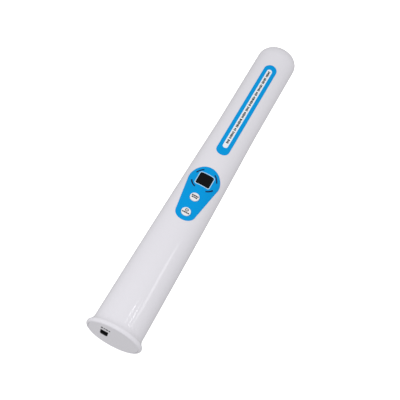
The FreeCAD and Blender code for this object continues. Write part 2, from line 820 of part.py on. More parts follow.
def screw(name, across, along, head_up, head_radius, head_height, shank_radius, length):
    head = rod(f"{name}_head", head_radius, head_height, across, along, head_up)
    shank = rod(f"{name}_shank", shank_radius, f"{length} + 0.5", across, along,
                f"{head_up} - {length}")
    slot = block(f"{name}_slot", across, f"{along} - 0.3", f"{head_up} + {head_height} - 0.6",
                 f"{head_radius} * 1.4", "0.6", "1")
    return cut(name, fused(f"{name}_blank", [head, shank]), slot)


# Tray, board and battery -----------------------------------------------------------------------

def boss_places():
    return [(f"{side}board_hole_across", along)
            for side in ("0 - ", "")
            for along in ("board_start + board_hole_inset", "board_end - board_hole_inset")]


def make_tray():
    tray = new_body("tray")
    floor = [
        ("tray_base_half_width", "tray_start"), ("tray_base_half_width", "tray_step"),
        ("tray_half_width", "tray_step"), ("tray_half_width", "tray_end"),
        ("0 - tray_half_width", "tray_end"), ("0 - tray_half_width", "tray_step"),
        ("0 - tray_base_half_width", "tray_step"), ("0 - tray_base_half_width", "tray_start"),
    ]
    padded(tray, "tray_floor", "tray_top - tray_thickness", "tray_thickness", outlines=[floor])

    board_wall_height = "board_top - board_thickness - tray_top"
    padded(tray, "board_walls", "tray_top", board_wall_height, outlines=[
        rectangle("tray_half_width - tray_wall", "tray_half_width",
                  "board_start + 12", "board_end - 12"),
        rectangle("0 - tray_half_width", "tray_wall - tray_half_width",
                  "board_start + 12", "board_end - 12")])
    padded(tray, "board_bosses", "tray_top - tray_thickness", f"{board_wall_height} + tray_thickness",
           circles=[(x, y, "boss_radius") for x, y in boss_places()])
    padded(tray, "charge_posts", "tray_top", "socket_bottom - board_thickness - tray_top",
           circles=[(x, "usb_hole_along", "usb_post_radius")
                    for x in ("usb_hole_left", "usb_hole_right")])

    wall_start = "battery_start - 1"
    wall_end = "battery_start + battery_length + 1"
    padded(tray, "cradle_walls", "tray_top", "cradle_wall_height", outlines=[
        rectangle("cradle_inner_across", "cradle_inner_across + 1.6", wall_start, wall_end),
        rectangle("0 - cradle_inner_across - 1.6", "0 - cradle_inner_across",
                  wall_start, wall_end)])
    padded(tray, "cradle_stops", "tray_top", "cradle_wall_height + 1", outlines=[
        rectangle("0 - cradle_inner_across - 1.6", "cradle_inner_across + 1.6",
                  f"{wall_start} - stop_thickness", wall_start),
        rectangle("0 - cradle_inner_across - 1.6", "cradle_inner_across + 1.6",
                  wall_end, f"{wall_end} + stop_thickness")])

    runner = [
        ("tray_start", "tray_top - tray_thickness"), ("tray_start", "runner_base_up"),
        ("waist_along", "runner_waist_up"), ("tray_end", "runner_waist_up"),
        ("tray_end", "tray_top - tray_thickness"),
    ]
    runner_pad = padded(tray, "runner", "runner_inner_across", "runner_thickness",
                        outlines=[runner], plane="YZ_Plane")
    doc.recompute()
    mirrored = tray.newObject("PartDesign::Mirrored", "runner_mirror")
    mirrored.Originals = [runner_pad]
    middle = next(item for item in tray.Origin.OriginFeatures if item.Role == "YZ_Plane")
    mirrored.MirrorPlane = (middle, [""])
    tray.Tip = mirrored
    pocketed(tray, "board_pilots", "board_top - board_thickness", "boss_pilot_depth",
             circles=[(x, y, "boss_pilot_radius") for x, y in boss_places()])
    pocketed(tray, "charge_pilots", "socket_bottom - board_thickness", "3.5",
             circles=[(x, "usb_hole_along", "usb_pilot_radius")
                      for x in ("usb_hole_left", "usb_hole_right")])
    sub_part(tray, "inner_tray")


def make_main_board():
    board = new_body("board")
    padded(board, "board_plate", "board_top - board_thickness", "board_thickness",
           outlines=[rectangle("0 - board_half_width", "board_half_width",
                               "board_start", "board_end")],
           circles=[(x, y, "board_hole_radius") for x, y in boss_places()])
    sub_part(board, "main_board")
    cans = [rod(f"capacitor_{along}", "capacitor_radius", "capacitor_height", "capacitor_across",
                along, "board_top") for along in CAPACITORS_ALONG]
    sub_part(group("capacitor_group", cans), "capacitors")

    buzzer_can = rod("buzzer_can", "buzzer_radius", "buzzer_height", "buzzer_across",
                     "buzzer_along", "board_top")
    sound_hole = rod("sound_hole", "buzzer_hole_radius", "buzzer_height", "buzzer_across",
                     "buzzer_along", "board_top + buzzer_height / 2")
    sub_part(cut("buzzer_case", buzzer_can, sound_hole), "buzzer")

    screws = [screw(f"board_screw_{n}", x, y, "board_top", "2.2", "1.5", "0.95", "7")
              for n, (x, y) in enumerate(boss_places())]
    sub_part(group("board_screw_group", screws), "board_screws")
    screws = [screw(f"charge_screw_{n}", x, "usb_hole_along", "socket_bottom", "1.8", "1.2",
                    "0.75", "4") for n, x in enumerate(("usb_hole_left", "usb_hole_right"))]
    sub_part(group("charge_screw_group", screws), "charging_board_screws")


def make_display():
    holder = new_body("holder")
    start = "window_centre - holder_length / 2"
    end = "window_centre + holder_length / 2"
    padded(holder, "holder_block", "board_top", "holder_height", outlines=[
        rectangle("0 - holder_width / 2", "holder_width / 2", start, end)])
    pocketed(holder, "holder_seat", "board_top + holder_height", "holder_pocket_depth", outlines=[
        rectangle("0 - display_width / 2 - 0.1", "display_width / 2 + 0.1",
                  "window_centre - display_length / 2 - 0.1",
                  "window_centre + display_length / 2 + 0.1")])
    sub_part(holder, "display_holder")
    block_part("display_module", "0", "window_centre - display_length / 2", "display_up",
               "display_width", "display_length", "display_thickness")
    frame = block("gasket_frame", "0", "window_centre - gasket_length / 2", "gasket_up",
                  "gasket_width", "gasket_length", "gasket_thickness")
    opening = block("gasket_opening", "0", "window_centre - gasket_opening_length / 2",
                    "gasket_up - 1", "gasket_opening_width", "gasket_opening_length",
                    "gasket_thickness + 2")
    sub_part(cut("gasket", frame, opening), "display_gasket")
    flex = new_body("flex")
    outline = [("203.2", "11.9"), ("203.2", "12.1"), ("198.0", "12.1"), ("198.0", "8.22"),
               ("195.0", "8.22"), ("195.0", "8.02"), ("198.2", "8.02"), ("198.2", "11.9")]
    padded(flex, "flex_ribbon", "-5", "10", outlines=[outline], plane="YZ_Plane")
    sub_part(flex, "display_flex")


def make_battery():
    crimp = "battery_radius - battery_crimp_depth"
    cell = revolved("cell", [
        ("0", "0"), ("battery_radius", "0"), ("battery_radius", "battery_crimp_start"),
        (crimp, "battery_crimp_start + 0.6"), (crimp, "battery_crimp_end - 0.6"),
        ("battery_radius", "battery_crimp_end"), ("battery_radius", "battery_length"),
        ("0", "battery_length")])
    sub_part(cell, "battery_cell", "0", "battery_start")
    tabs = [block("tab_base", "2", "battery_start - 0.3", "-4", "5", "0.25", "10"),
            block("tab_tip", "-2", "battery_start + battery_length + 0.05", "-4", "5", "0.25", "10")]
    sub_part(group("tab_group", tabs), "battery_tabs")
    ring = cut("strap_ring",
               rod("strap_outer", "strap_radius", "strap_width", "0", "strap_along", "0", ALONG),
               rod("strap_inner", "strap_inner_radius", "strap_width + 2", "0",
                   "strap_along - 1", "0", ALONG),
               block("strap_open", "0", "strap_along - 1", "strap_foot_up - 20", "40",
                     "strap_width + 2", "20"))
    sub_part(ring, "battery_strap")


# Keys ------------------------------------------------------------------------------------------

def make_keys():
    for name, along, surface in key_places():
        stem_bottom = f"plunger_top - {surface}"
        cap = revolved(f"{name}_cap", [
            ("0", stem_bottom),
            ("key_stem_radius", stem_bottom),
            ("key_stem_radius", "0 - key_hollow_top"),
            ("key_hollow_radius", "0 - key_hollow_top"),
            ("key_hollow_radius", "0 - key_flange_bottom"),
            ("key_flange_radius", "0 - key_flange_bottom"),
            ("key_flange_radius", "0 - key_flange_top"),
            ("key_radius", "0 - key_flange_top"),
            ("key_radius", "key_edge_height - key_edge_rounding"),
            ("key_radius - key_edge_rounding", "key_edge_height", "key_edge_rounding", 1),
            ("0", "key_crown", "key_crown_radius", 1),
        ], plane="XZ_Plane")
        sub_part(cap, f"{name}_key", "0", along, surface)

        case = block(f"{name}_switch_case", "0", f"{along} - switch_size / 2", "board_top",
                     "switch_size", "switch_size", "switch_height")
        well = rod(f"{name}_switch_well", "switch_well_radius", "switch_well_depth + 1", "0", along,
                   "board_top + switch_height - switch_well_depth")
        sub_part(cut(f"{name}_switch_cut", case, well), f"{name}_switch")
        plunger = rod(f"{name}_plunger_pin", "plunger_radius", "plunger_top - plunger_bottom", "0",
                      "0", "0")
        sub_part(plunger, f"{name}_switch_plunger", "0", along, "plunger_bottom")


# Antenna and leads -----------------------------------------------------------------------------

def make_antenna():
    ferrite = rod("ferrite", "ferrite_radius", "ferrite_length", "0", "0", "0")
    sub_part(ferrite, "antenna_rod", "0", "ferrite_start", "0", ALONG)
    former = revolved("former", [
        ("former_inner_radius", "0"), ("former_flange_radius", "0"),
        ("former_flange_radius", "former_flange"), ("former_radius", "former_flange"),
        ("former_radius", "former_length - former_flange"),
        ("former_flange_radius", "former_length - former_flange"),
        ("former_flange_radius", "former_length"), ("former_inner_radius", "former_length")])
    sub_part(former, "antenna_former", "0", "former_start")
    coil = revolved("coil", [
        ("former_radius + coil_gap", "former_flange + coil_gap"),
        ("coil_radius", "former_flange + coil_gap"),
        ("coil_radius", "former_length - former_flange - coil_gap"),
        ("former_radius + coil_gap", "former_length - former_flange - coil_gap")])
    sub_part(coil, "antenna_coil", "0", "former_start")
    saddles = []
    for name, along in (("base", "saddle_base_along"), ("tip", "saddle_tip_along")):
        body = block(f"saddle_{name}_block", "0", along, "tray_top + 0.02", "saddle_width",
                     "saddle_length", "saddle_top - tray_top")
        bore = rod(f"saddle_{name}_bore", "saddle_bore_radius", "saddle_length + 2", "0",
                   f"{along} - 1", "0", ALONG)
        saddles.append(cut(f"saddle_{name}", body, bore))
    sub_part(group("saddle_group", saddles), "antenna_saddles")
    cushion = rod("cushion", "cushion_radius", "cushion_length", "0", "0", "0")
    sub_part(cushion, "tip_cushion", "0", "cushion_start", "0", ALONG)


def lead_shape(radius, points):
    """A round wire along straight runs joined by tangent arcs."""
    corners = [FreeCAD.Vector(*point) for point in points]
    edges = []
    run_start = corners[0]
    for before, corner, after in zip(corners, corners[1:], corners[2:]):
        incoming = (corner - before).normalize()
        outgoing = (after - corner).normalize()
        turn = incoming.getAngle(outgoing)
        reach = 0.45 * min((corner - before).Length, (after - corner).Length)
        bend = reach / math.tan(turn / 2)
        first, last = corner - incoming * reach, corner + outgoing * reach
        inward = (outgoing - incoming).normalize()
        middle = corner + inward * (bend / math.cos(turn / 2) - bend)
        edges.append(Part.LineSegment(run_start, first).toShape())
        edges.append(Part.Arc(first, middle, last).toShape())
        run_start = last
    edges.append(Part.LineSegment(run_start, corners[-1]).toShape())
    path = Part.Wire(edges)
    start_way = (corners[1] - corners[0]).normalize()
    section = Part.Wire([Part.Circle(corners[0], start_way, radius).toShape()])
    return path.makePipeShell([section], True, True)


def make_leads():
    for label, (radius, points) in LEADS.items():
        item = doc.addObject("Part::Feature", f"{label}_wire")
        item.Shape = lead_shape(radius, points)
        sub_part(item, label)


# Build, check and write ------------------------------------------------------------------------

def make_blocks():
    for label in BLOCKS:
        block_part(label, *(f"{label}_{size_name}" for size_name in BLOCK_SIZES))


def check_and_write():
    doc.recompute()
    failed = [item.Name for item in doc.Objects if {"Invalid", "Error"} & set(item.State)]
    if failed:
        raise RuntimeError(f"failed objects: {failed}")
    for item in sub_parts:
        if item.Shape.isNull() or not item.Shape.isValid() or not item.Shape.Solids:
            raise RuntimeError(f"{item.Label} is not a valid solid")
    os.makedirs(PARTS_FOLDER, exist_ok=True)
    for item in sub_parts:
        item.Shape.exportStep(os.path.join(PARTS_FOLDER, f"{item.Label}.step"))
        box = item.Shape.BoundBox
        print(f"{item.Label:24s} solids {len(item.Shape.Solids)} volume {item.Shape.Volume:10.1f}  "
              f"x {box.XMin:7.2f} {box.XMax:7.2f}  y {box.YMin:8.2f} {box.YMax:8.2f}  "
              f"z {box.ZMin:6.2f} {box.ZMax:6.2f}")


make_sheet()
make_housing_and_films()
make_end_plate()
make_charging_socket()
make_tray()
make_main_board()
make_display()
make_battery()
make_keys()
make_antenna()
make_blocks()
make_leads()
check_and_write()
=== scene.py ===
import json
import math

import bmesh
import bpy
import numpy as np
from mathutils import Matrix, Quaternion, Vector
from mathutils.geometry import delaunay_2d_cdt


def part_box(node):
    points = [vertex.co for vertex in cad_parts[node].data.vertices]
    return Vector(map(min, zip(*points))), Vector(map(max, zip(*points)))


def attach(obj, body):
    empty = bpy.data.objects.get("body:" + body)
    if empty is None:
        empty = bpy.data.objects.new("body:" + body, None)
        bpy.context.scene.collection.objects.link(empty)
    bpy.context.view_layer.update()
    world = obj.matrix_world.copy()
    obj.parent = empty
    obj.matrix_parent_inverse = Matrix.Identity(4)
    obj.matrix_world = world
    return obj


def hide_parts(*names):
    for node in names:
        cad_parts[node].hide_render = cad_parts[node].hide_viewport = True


# A stick-shaped microchip scanner. Shapes are worked out in millimetres in the stick's own axis frame:
# across, along from the base face, and up from the axis. place() turns them into the frame's metres.

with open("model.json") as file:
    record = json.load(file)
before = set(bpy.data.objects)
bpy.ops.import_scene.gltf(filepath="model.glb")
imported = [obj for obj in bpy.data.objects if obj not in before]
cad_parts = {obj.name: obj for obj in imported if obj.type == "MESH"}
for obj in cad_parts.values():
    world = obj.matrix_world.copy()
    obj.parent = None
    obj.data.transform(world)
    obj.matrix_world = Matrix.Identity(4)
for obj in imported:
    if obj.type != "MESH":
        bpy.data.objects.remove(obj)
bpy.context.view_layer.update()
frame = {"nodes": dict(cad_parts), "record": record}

MM = 0.001
TINY = 1e-6
HOUSING_LOW, HOUSING_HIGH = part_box("housing_tube")
BASE_Y = HOUSING_LOW.y
LENGTH = (HOUSING_HIGH.y - HOUSING_LOW.y) / MM

# Housing, in millimetres. A pair is a half width and a place along the stick. The lands are two narrow flats
# under the rim and the tip, in one plane, that the scanner lies on.
SECTION_RATIO = 0.70
CAVITY_RATIO = 0.668
WALL = 2.5
RIM_HALF_WIDTH = 32.6
RIM_RADIUS = 3.0
RIM_CENTRE = 2.8
FLARE_SLOPE = math.radians(45)
NECK_HALF_WIDTH = 28.35
TAPER_END = (24.55, 285.0)
TAPER_RADIUS = 20800.0
WAIST = (24.14, 325.0)
WAIST_RADIUS = 1951.0
SHOULDER_RADIUS = 21.5
CAP_RADIUS = 28.0
REBATE = (29.6, 3.05)
REBATE_CHAMFER = 0.1
BORE_CHAMFER = 0.2
MOUTH_CHAMFER = 0.15
LAND_DEPTH = 0.3
SHOULDER_CENTRE = LENGTH - CAP_RADIUS + math.sqrt((CAP_RADIUS - SHOULDER_RADIUS) ** 2
                                                  - (WAIST[0] - SHOULDER_RADIUS) ** 2)

AXIS_Z = HOUSING_HIGH.z - RIM_HALF_WIDTH * SECTION_RATIO * MM
LAND_RISE = (RIM_HALF_WIDTH - WAIST[0]) * SECTION_RATIO / (SHOULDER_CENTRE - RIM_CENTRE)

# How finely the housing is meshed. Its patches are where the recesses are cut: the stretches along the
# stick, outside and in the cavity, and how far they reach to each side of the label face, in degrees.
SEGMENTS = 144
RIM_STEPS = 18
FLARE_STEPS = 14
TAPER_STEPS = 68
WAIST_STEPS = 10
STRAIGHT_STEPS = 26
SHOULDER_STEPS = 18
CAP_STEPS = 8
OUTER_PATCH = (140.0, 420.0)
INNER_PATCH = (152.0, 232.0)
PATCH_REACH = 58
PATCH_ROOM = 0.5
FLOOR_SPACING = 2.5
GRID_ROOM = 0.45
CORNER_STEPS = 8
PANEL_STEPS = 30
SHARP_ANGLE = math.radians(32)

# Films, window and keys, in millimetres. A pair ending in HALF is a half width and a half length. Heights in
# a key start from a level KEY_CROWN under its top. The flange has two of them, the hollow a radius and one.
SEAT_DEPTH = 0.50
FILM_DEPTH = 0.45
SEAT_GAP = 0.15
SOFT_EDGE = 0.12
EDGE_DROP = 0.06
PANEL_TOP = 232.3
PANEL_HEAD_RADIUS = 18.8
PANEL_CORNER = (18.78, 212.6)
PANEL_FOOT = (11.87, 164.1)
PANEL_FOOT_RADIUS = 12.0
STRIP_START = 255.3
STRIP_END = 408.5
STRIP_HALF_WIDTH = 8.0
WINDOW_CENTRE = 213.9
WINDOW_HALF = (8.45, 8.1)
WINDOW_CORNER = 2.0
LENS_SEAT_UP = 15.85
LENS_BACK_UP = 15.90
LENS_EDGE = 0.25
LENS_DROP = 0.15
SIGHT_HALF = (7.25, 6.9)
SIGHT_CORNER = 1.5
KEY_HOLE_RADIUS = 5.75
UPPER_KEY_ALONG = 187.2
LOWER_KEY_ALONG = 165.1
KEY_RADIUS = 5.5
KEY_FLANGE_RADIUS = 6.7
KEY_FLANGE = (-4.2, -3.35)
KEY_HOLLOW = (4.3, -1.2)
KEY_STEM_RADIUS = 1.8
KEY_EDGE = 0.55
KEY_ROUNDING = 0.3
KEY_CROWN = 0.95
KEY_CROWN_RADIUS = 34.0
SOCKET_ACROSS = -10.56


def place(across, along, up):
    """A point of the axis frame, in metres in the object's frame."""
    return Vector((across * MM, BASE_Y + along * MM, AXIS_Z + up * MM))


def place_on_base(across, up, out):
    """A point on or near the base face, where out is the distance in front of it."""
    return place(across, -out, up)


# Side of the stick -----------------------------------------------------------------------------

def arc(start, end, radius, side, steps):
    """Points after the start, round an arc that bulges outwards (side 1) or inwards (side -1)."""
    start, end = np.array(start), np.array(end)
    chord = end - start
    half = np.linalg.norm(chord) / 2
    towards_axis = np.array([-chord[1], chord[0]]) / (2 * half)
    centre = (start + end) / 2 + side * towards_axis * math.sqrt(radius ** 2 - half ** 2)
    first = math.atan2(start[1] - centre[1], start[0] - centre[0])
    last = math.atan2(end[1] - centre[1], end[0] - centre[0])
    sweep = (last - first + math.pi) % (2 * math.pi) - math.pi
    turns = [first + sweep * step / steps for step in range(1, steps + 1)]
    return [(centre[0] + radius * math.cos(turn), centre[1] + radius * math.sin(turn)) for turn in turns]


def rim_and_flare():
    """The rim's round edge and the flare, from the base face to the neck."""
    rim_across = RIM_HALF_WIDTH - RIM_RADIUS
    mouth = (rim_across + math.sqrt(RIM_RADIUS ** 2 - RIM_CENTRE ** 2), 0.0)
    flare_start = (rim_across + RIM_RADIUS * math.cos(FLARE_SLOPE),
                   RIM_CENTRE + RIM_RADIUS * math.sin(FLARE_SLOPE))
    flare_radius = (flare_start[0] - NECK_HALF_WIDTH) / (1 - math.cos(FLARE_SLOPE))
    neck = (NECK_HALF_WIDTH, flare_start[1] + flare_radius * math.sin(FLARE_SLOPE))
    return [mouth, *arc(mouth, flare_start, RIM_RADIUS, 1, RIM_STEPS),
            *arc(flare_start, neck, flare_radius, -1, FLARE_STEPS)]


def side_above_neck(inset):
    """The side from the neck to the middle of the tip, moved in by an inset."""
    neck = (NECK_HALF_WIDTH - inset, rim_and_flare()[-1][1])
    taper_end = (TAPER_END[0] - inset, TAPER_END[1])
    waist = (WAIST[0] - inset, WAIST[1])
    cap_centre = LENGTH - CAP_RADIUS
    turn = math.atan2(WAIST[0] - SHOULDER_RADIUS, SHOULDER_CENTRE - cap_centre)
    dome = (WAIST[0] - inset, SHOULDER_CENTRE)
    cap_radius = CAP_RADIUS - inset
    cap = (cap_radius * math.sin(turn), cap_centre + cap_radius * math.cos(turn))
    tip = (0.0, LENGTH - inset)
    straight = [(waist[0], waist[1] + (dome[1] - waist[1]) * step / STRAIGHT_STEPS)
                for step in range(1, STRAIGHT_STEPS + 1)]
    return [neck, *arc(neck, taper_end, TAPER_RADIUS, 1, TAPER_STEPS),
            *arc(taper_end, waist, WAIST_RADIUS, -1, WAIST_STEPS), *straight,
            *arc(dome, cap, SHOULDER_RADIUS - inset, 1, SHOULDER_STEPS),
            *arc(cap, tip, cap_radius, 1, CAP_STEPS)]


SIDE_WIDTHS, SIDE_ALONGS = np.array(side_above_neck(0.0)).T
SIDE_SLOPES = np.gradient(SIDE_WIDTHS, SIDE_ALONGS)


def half_width(along):
    """Half the housing's width at a place between the neck and the tip."""
    return float(np.interp(along, SIDE_ALONGS, SIDE_WIDTHS))


def skin(inset, ratio=SECTION_RATIO):
    """A function that gives the height of the label face, moved in by an inset."""
    def up(across, along):
        return ratio * math.sqrt((half_width(along) - inset) ** 2 - across ** 2)
    return up


def flat(height):
    """A function that gives the same height everywhere."""
    return lambda across, along: height


def land_up(along):
    """The height of the plane that the scanner lies on, which trims a flat under the rim and the tip."""
    return LAND_DEPTH - RIM_HALF_WIDTH * SECTION_RATIO + (along - RIM_CENTRE) * LAND_RISE


def skin_normal(across, along, up):
    """Which way the housing's surface faces, anywhere between the neck and the tip's cap."""
    if up < land_up(along) + 0.001:
        return Vector((0.0, LAND_RISE, -1.0)).normalized()
    slope = float(np.interp(along, SIDE_ALONGS, SIDE_SLOPES))
    return Vector((across, -half_width(along) * slope, up / SECTION_RATIO ** 2)).normalized()


# Outlines, as loops of (across, along) points that run anticlockwise seen from above -------------

def evenly(points, spacing):
    """A loop's corners joined by points no further apart than the spacing."""
    loop = []
    for start, end in zip(points, points[1:] + points[:1]):
        if math.dist(start, end) < TINY:
            continue
        steps = max(1, round(math.dist(start, end) / spacing))
        across, along = end[0] - start[0], end[1] - start[1]
        loop += [(start[0] + across * step / steps, start[1] + along * step / steps)
                 for step in range(steps)]
    return loop


def circle(across, along, radius, count=64):
    turns = [2 * math.pi * step / count for step in range(count)]
    return [(across + radius * math.cos(turn), along + radius * math.sin(turn)) for turn in turns]


def rounded_box(centre, half, corner, spacing=0.8):
    points = []
    for quarter, (right, top) in enumerate([(1, -1), (1, 1), (-1, 1), (-1, -1)]):
        middle = (centre[0] + right * (half[0] - corner), centre[1] + top * (half[1] - corner))
        for step in range(CORNER_STEPS + 1):
            turn = math.radians(90 * (quarter - 1) + 90 * step / CORNER_STEPS)
            points.append((middle[0] + corner * math.cos(turn), middle[1] + corner * math.sin(turn)))
    return evenly(points, spacing)


def grown(loop, amount):
    """A loop moved outwards, or inwards by an amount below zero."""
    points = np.array(loop)
    ahead = np.roll(points, -1, axis=0) - np.roll(points, 1, axis=0)
    outwards = np.column_stack([ahead[:, 1], -ahead[:, 0]])
    outwards /= np.linalg.norm(outwards, axis=1)[:, None]
    return [tuple(point) for point in points + outwards * amount]


def panel_outline(gap=0.0):
    """A round head that narrows to a round foot."""
    corner = (PANEL_CORNER[0] + gap, PANEL_CORNER[1])
    top = (0.0, PANEL_TOP + gap)
    other_corner = (-corner[0], corner[1])
    foot = (-PANEL_FOOT[0] - gap, PANEL_FOOT[1])
    other_foot = (-foot[0], foot[1])
    head_radius = PANEL_HEAD_RADIUS + gap
    points = [corner, *arc(corner, top, head_radius, 1, PANEL_STEPS),
              *arc(top, other_corner, head_radius, 1, PANEL_STEPS),
              foot, *arc(foot, other_foot, PANEL_FOOT_RADIUS + gap, 1, PANEL_STEPS)]
    return evenly(points, 1.0)


def strip_outline(half, start, end, spacing=1.5):
    """A long slot with round ends."""
    return rounded_box((0.0, (start + end) / 2), (half, (end - start) / 2), half, spacing)


def key_hole_outlines():
    return [circle(0.0, along, KEY_HOLE_RADIUS) for along in (UPPER_KEY_ALONG, LOWER_KEY_ALONG)]


def window_outline(gap=0.0):
    half = (WINDOW_HALF[0] + gap, WINDOW_HALF[1] + gap)
    return rounded_box((0.0, WINDOW_CENTRE), half, WINDOW_CORNER + gap)


# Closed meshes ---------------------------------------------------------------------------------

def crossings(loops, points):
    """How many loops lie round each point, as an array."""
    points = np.array(points)
    count = np.zeros(len(points), int)
    for loop in loops:
        x0, y0 = np.array(loop).T
        x1, y1 = np.roll(x0, -1), np.roll(y0, -1)
        for start_x, start_y, end_x, end_y in zip(x0, y0, x1, y1):
            if start_y == end_y:
                continue
            straddles = (start_y > points[:, 1]) != (end_y > points[:, 1])
            meets = start_x + (points[:, 1] - start_y) / (end_y - start_y) * (end_x - start_x)
            count += straddles & (points[:, 0] < meets)
    return count


def clear_points(loops, points, room):
    """The points that lie between the loops and keep some room from them."""
    edge = np.array([point for loop in loops for point in loop])
    inside = crossings(loops, points) % 2 == 1
    return [point for point, kept in zip(points, inside)
            if kept and np.min(np.hypot(*(edge - np.array(point)).T)) > room]


class Maker:
    """Gathers points and faces in the axis frame and makes a mesh object of closed shapes from them."""

    def __init__(self, put=place):
        self.put = put
        self.points = []
        self.faces = []
        self.smooth = {}

    def loop(self, outline, height):
        """Adds an outline's points at the height that a function gives, and returns their numbers."""
        first = len(self.points)
        self.points += [(across, along, height(across, along)) for across, along in outline]
        return list(range(first, len(self.points)))

    def flat_loop(self, numbers):
        """The points with these numbers, without their heights."""
        return [self.points[number][:2] for number in numbers]

    def wall(self, loop, other):
        """Joins two loops that have the same number of points."""
        for step in range(len(loop)):
            ahead = (step + 1) % len(loop)
            self.faces.append((loop[step], loop[ahead], other[ahead], other[step]))

    def fill(self, loops, inner, normal=None):
        """Fills the space between loops with triangles that also use the inner points."""
        numbers = [number for loop in loops for number in loop]
        edges = []
        for loop in loops:
            first = len(edges)
            edges += [(first + i, first + (i + 1) % len(loop)) for i in range(len(loop))]
        numbers += inner
        flat_points = [Vector(self.points[number][:2]) for number in numbers]
        triangles = delaunay_2d_cdt(flat_points, edges, [], 0, 1e-7)
        found, faces, origins = triangles[0], triangles[2], triangles[3]
        middles = [sum((found[i] for i in face), Vector((0.0, 0.0))) / 3 for face in faces]
        kept = crossings([self.flat_loop(loop) for loop in loops], middles) % 2 == 1
        for face, keep in zip(faces, kept):
            if keep:
                if normal:
                    self.smooth[len(self.faces)] = normal
                self.faces.append(tuple(numbers[origins[i][0]] for i in face))

    def cover(self, loops, height, spacing, normal=None):
        """Fills the space between loops over a surface, with inner points on a grid."""
        outlines = [self.flat_loop(loop) for loop in loops]
        low, high = np.min(outlines[0], axis=0), np.max(outlines[0], axis=0)
        grid = [(x, y) for x in np.arange(low[0] + spacing / 2, high[0], spacing)
                for y in np.arange(low[1] + spacing / 2, high[1], spacing)]
        inner = clear_points(outlines, grid, spacing * GRID_ROOM) if grid else []
        self.fill(loops, self.loop(inner, height), normal)

    def slab(self, outer, holes, top, bottom, edge=SOFT_EDGE, drop=EDGE_DROP, spacing=2.0, normal=None):
        """A sheet with a soft upper edge: an outline with holes, between two surfaces."""
        def lowered(across, along):
            return top(across, along) - drop
        loops = [(outer, -edge)] + [(hole, edge) for hole in holes]
        low = [self.loop(loop, bottom) for loop, amount in loops]
        middle = [self.loop(loop, lowered) for loop, amount in loops]
        high = [self.loop(grown(loop, amount), top) for loop, amount in loops]
        for lower, shoulder, upper in zip(low, middle, high):
            self.wall(lower, shoulder)
            self.wall(shoulder, upper)
        self.cover(high, top, spacing, normal)
        self.cover(low, bottom, spacing * 2)

    def finish(self, name, material, body="housing", replaces=()):
        """Makes the object, without unused points: faces outwards, smooth surfaces, sharp edges."""
        used = sorted({number for face in self.faces for number in face})
        renumbered = {number: index for index, number in enumerate(used)}
        points = [self.points[number] for number in used]
        faces = [tuple(renumbered[number] for number in face) for face in self.faces]
        mesh = bpy.data.meshes.new(name)
        mesh.from_pydata([self.put(*point) for point in points], [], faces)
        shape = bmesh.new()
        shape.from_mesh(mesh)
        bmesh.ops.recalc_face_normals(shape, faces=shape.faces)
        shape.to_mesh(mesh)
        shape.free()
        mesh.shade_smooth()
        mesh.set_sharp_from_angle(angle=SHARP_ANGLE)
        if self.smooth:
            normals = [(0.0, 0.0, 0.0)] * len(mesh.loops)
            for face, normal in self.smooth.items():
                for loop in mesh.polygons[face].loop_indices:
                    normals[loop] = normal(*points[mesh.loops[loop].vertex_index])
            mesh.normals_split_custom_set(normals)
        mesh.materials.append(material)
        item = bpy.data.objects.new(name, mesh)
        bpy.context.scene.collection.objects.link(item)
        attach(item, body)
        for node in replaces:
            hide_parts(node)


# Materials -------------------------------------------------------------------------------------

class Look:
    """A procedural material whose colour, roughness and surface vary a little, as real ones do."""

    def __init__(self, name):
        self.material = bpy.data.materials.new(name)
        self.material.use_nodes = True
        self.tree = self.material.node_tree
        self.shader = self.tree.nodes["Principled BSDF"]
        self.coordinates = self.tree.nodes.new("ShaderNodeTexCoord").outputs["Object"]

    def noise(self, scale, detail=2.0, stretch=(1.0, 1.0, 1.0)):
        """Soft noise over the object, finer with a larger scale."""
        mapping = self.tree.nodes.new("ShaderNodeMapping")
        mapping.inputs["Scale"].default_value = stretch
        self.tree.links.new(self.coordinates, mapping.inputs["Vector"])
        texture = self.tree.nodes.new("ShaderNodeTexNoise")
        texture.inputs["Scale"].default_value = scale
        texture.inputs["Detail"].default_value = detail
        self.tree.links.new(mapping.outputs["Vector"], texture.inputs["Vector"])
        return texture.outputs["Fac"]

    def between(self, factor, low, high, socket):
        """Varies a number between two values."""
        span = self.tree.nodes.new("ShaderNodeMapRange")
        span.inputs["From Min"].default_value = 0.3
        span.inputs["From Max"].default_value = 0.7
        span.inputs["To Min"].default_value = low
        span.inputs["To Max"].default_value = high
        self.tree.links.new(factor, span.inputs["Value"])
        self.tree.links.new(span.outputs["Result"], self.shader.inputs[socket])

    def colours(self, factor, low, high):
        """Varies the colour between two values."""
        mix = self.tree.nodes.new("ShaderNodeMix")
        mix.data_type = "RGBA"
        mix.inputs["A"].default_value = (*low, 1.0)
        mix.inputs["B"].default_value = (*high, 1.0)
        self.tree.links.new(factor, mix.inputs["Factor"])
        self.tree.links.new(mix.outputs["Result"], self.shader.inputs["Base Color"])

    def bumps(self, factor, height):
        """Raises the surface by a height in metres."""
        bump = self.tree.nodes.new("ShaderNodeBump")
        bump.inputs["Distance"].default_value = height
        bump.inputs["Strength"].default_value = 1.0
        self.tree.links.new(factor, bump.inputs["Height"])
        self.tree.links.new(bump.outputs["Normal"], self.shader.inputs["Normal"])

    def set(self, **values):
        """Sets shader inputs by name, in lower case with underscores."""
        for name, value in values.items():
            self.shader.inputs[name.replace("_", " ").title().replace("Ior", "IOR")].default_value = value


def shaded(colour, amount):
    """A colour made lighter, or darker by an amount below one."""
    return tuple(min(1.0, channel * amount) for channel in colour)


